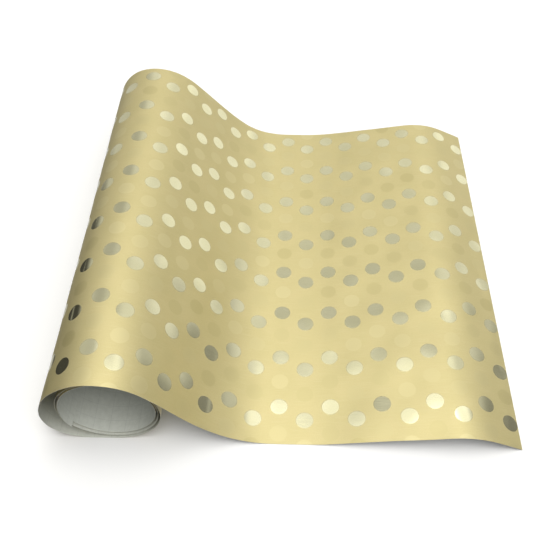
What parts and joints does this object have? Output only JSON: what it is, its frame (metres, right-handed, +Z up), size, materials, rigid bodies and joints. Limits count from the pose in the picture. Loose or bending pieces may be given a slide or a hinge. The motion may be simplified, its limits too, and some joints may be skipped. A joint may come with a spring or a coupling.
{
  "type": "wrapping paper roll",
  "caption": "Sheet of metallic gold gift-wrapping paper with foil dots, loosely rolled without a core, its free end lying on the table in a shallow wave.",
  "frame": {"origin": "on the table under the middle of the part's box", "axes": "+Z up; Y along the roll's axis, with the end that shows the winding at -Y; +X from the roll towards the free edge of the flap"},
  "size_m": [0.7288, 0.767, 0.1586],
  "materials": {
    "gold_face": "satin metallic gold ink with mirror foil dots on the face, white back",
    "white_back": "uncoated white back with a faint grey cutting grid; the face is the same gold"
  },
  "bodies": {
    "roll": {"roll_crest": "gold_face", "loose_turn_shoulder": "gold_face", "loose_turn_flank": "gold_face", "loose_turn_corner": "gold_face", "loose_turn_base": "gold_face", "loose_turn_right_side": "gold_face"},
    "second_turn": {"second_turn_over": "white_back", "second_turn_under": "white_back"},
    "third_turn": {"third_turn_over": "white_back", "third_turn_under": "white_back"},
    "inner_turn": {"inner_turn_over": "white_back"},
    "inner_edge_1": {"inner_edge_strip_1": "white_back"},
    "inner_edge_2": {"inner_edge_strip_2": "white_back"},
    "ramp_upper": {"ramp_upper_strip": "gold_face"},
    "ramp_lower": {"ramp_lower_strip": "gold_face"},
    "foot_3": {"foot_bend_3": "gold_face"},
    "foot_2": {"foot_bend_2": "gold_face"},
    "foot_1": {"foot_bend_1": "gold_face"},
    "rest": {"rest_strip": "gold_face"},
    "wave_back_1": {"wave_back_strip_1": "gold_face"},
    "wave_back_2": {"wave_back_strip_2": "gold_face"},
    "wave_back_3": {"wave_back_strip_3": "gold_face"},
    "wave_back_4": {"wave_back_strip_4": "gold_face"},
    "wave_crest": {"wave_crest_strip": "gold_face"},
    "free_edge": {"free_edge_strip": "gold_face"}
  },
  "joints": [
    {"name": "ramp_lift", "type": "hinge", "parent": "roll", "child": "ramp_upper", "pos_m": [-0.20779, 0, 0.12632], "axis": [0, -1, 0], "range_deg": [0, 6], "stiffness_Nm_per_rad": 0.02},
    {"name": "ramp_flex", "type": "hinge", "parent": "ramp_upper", "child": "ramp_lower", "pos_m": [-0.17514, 0, 0.09251], "axis": [0, -1, 0], "range_deg": [0, 6], "stiffness_Nm_per_rad": 0.02},
    {"name": "foot_flex_3", "type": "hinge", "parent": "ramp_lower", "child": "foot_3", "pos_m": [-0.14249, 0, 0.0587], "axis": [0, -1, 0], "range_deg": [0, 6], "stiffness_Nm_per_rad": 0.02},
    {"name": "foot_flex_2", "type": "hinge", "parent": "foot_3", "child": "foot_2", "pos_m": [-0.11032, 0, 0.03024], "axis": [0, -1, 0], "range_deg": [0, 6], "stiffness_Nm_per_rad": 0.02},
    {"name": "foot_flex_1", "type": "hinge", "parent": "foot_2", "child": "foot_1", "pos_m": [-0.06802, 0, 0.00798], "axis": [0, -1, 0], "range_deg": [0, 6], "stiffness_Nm_per_rad": 0.02},
    {"name": "flap_curl", "type": "hinge", "parent": "foot_1", "child": "rest", "pos_m": [-0.02085, 0, 0.0003], "axis": [0, -1, 0], "range_deg": [0, 15], "stiffness_Nm_per_rad": 0.02},
    {"name": "flap_flex_1", "type": "hinge", "parent": "rest", "child": "wave_back_1", "pos_m": [0.01915, 0, 0.0003], "axis": [0, -1, 0], "range_deg": [0, 15], "stiffness_Nm_per_rad": 0.02},
    {"name": "flap_flex_2", "type": "hinge", "parent": "wave_back_1", "child": "wave_back_2", "pos_m": [0.0789, 0, 0.005], "axis": [0, -1, 0], "range_deg": [0, 15], "stiffness_Nm_per_rad": 0.02},
    {"name": "flap_flex_3", "type": "hinge", "parent": "wave_back_2", "child": "wave_back_3", "pos_m": [0.13816, 0, 0.01439], "axis": [0, -1, 0], "range_deg": [0, 15], "stiffness_Nm_per_rad": 0.02},
    {"name": "flap_flex_4", "type": "hinge", "parent": "wave_back_3", "child": "wave_back_4", "pos_m": [0.19742, 0, 0.02378], "axis": [0, -1, 0], "range_deg": [0, 15], "stiffness_Nm_per_rad": 0.02},
    {"name": "edge_curl", "type": "hinge", "parent": "wave_back_4", "child": "wave_crest", "pos_m": [0.24681, 0, 0.0316], "axis": [0, -1, 0], "range_deg": [0, 25], "stiffness_Nm_per_rad": 0.02},
    {"name": "edge_flex", "type": "hinge", "parent": "wave_crest", "child": "free_edge", "pos_m": [0.31902, 0, 0.02145], "axis": [0, -1, 0], "range_deg": [0, 25], "stiffness_Nm_per_rad": 0.02},
    {"name": "telescope", "type": "slide", "parent": "roll", "child": "second_turn", "axis": [0, -1, 0], "range_m": [-0.015, 0.015]},
    {"name": "third_turn_slide", "type": "slide", "parent": "second_turn", "child": "third_turn", "axis": [0, -1, 0], "range_m": [-0.015, 0.015]},
    {"name": "inner_turn_slide", "type": "slide", "parent": "third_turn", "child": "inner_turn", "axis": [0, -1, 0], "range_m": [-0.015, 0.015]},
    {"name": "inner_edge_curl", "type": "hinge", "parent": "inner_turn", "child": "inner_edge_1", "pos_m": [-0.34644, 0, 0.0775], "axis": [0, -1, 0], "range_deg": [0, 20], "stiffness_Nm_per_rad": 0.01},
    {"name": "inner_edge_flex", "type": "hinge", "parent": "inner_edge_1", "child": "inner_edge_2", "pos_m": [-0.3434, 0, 0.05718], "axis": [0, -1, 0], "range_deg": [0, 20], "stiffness_Nm_per_rad": 0.01}
  ],
  "couplings": [
    {"joint": "ramp_flex", "follows": "ramp_lift", "ratio": 1},
    {"joint": "foot_flex_3", "follows": "ramp_lift", "ratio": 1},
    {"joint": "foot_flex_2", "follows": "ramp_lift", "ratio": 1},
    {"joint": "foot_flex_1", "follows": "ramp_lift", "ratio": 1},
    {"joint": "flap_flex_1", "follows": "flap_curl", "ratio": 1},
    {"joint": "flap_flex_2", "follows": "flap_curl", "ratio": 1},
    {"joint": "flap_flex_3", "follows": "flap_curl", "ratio": 1},
    {"joint": "flap_flex_4", "follows": "flap_curl", "ratio": 1},
    {"joint": "edge_flex", "follows": "edge_curl", "ratio": 1},
    {"joint": "third_turn_slide", "follows": "telescope", "ratio": 1},
    {"joint": "inner_turn_slide", "follows": "telescope", "ratio": 1},
    {"joint": "inner_edge_flex", "follows": "inner_edge_curl", "ratio": 1}
  ]
}
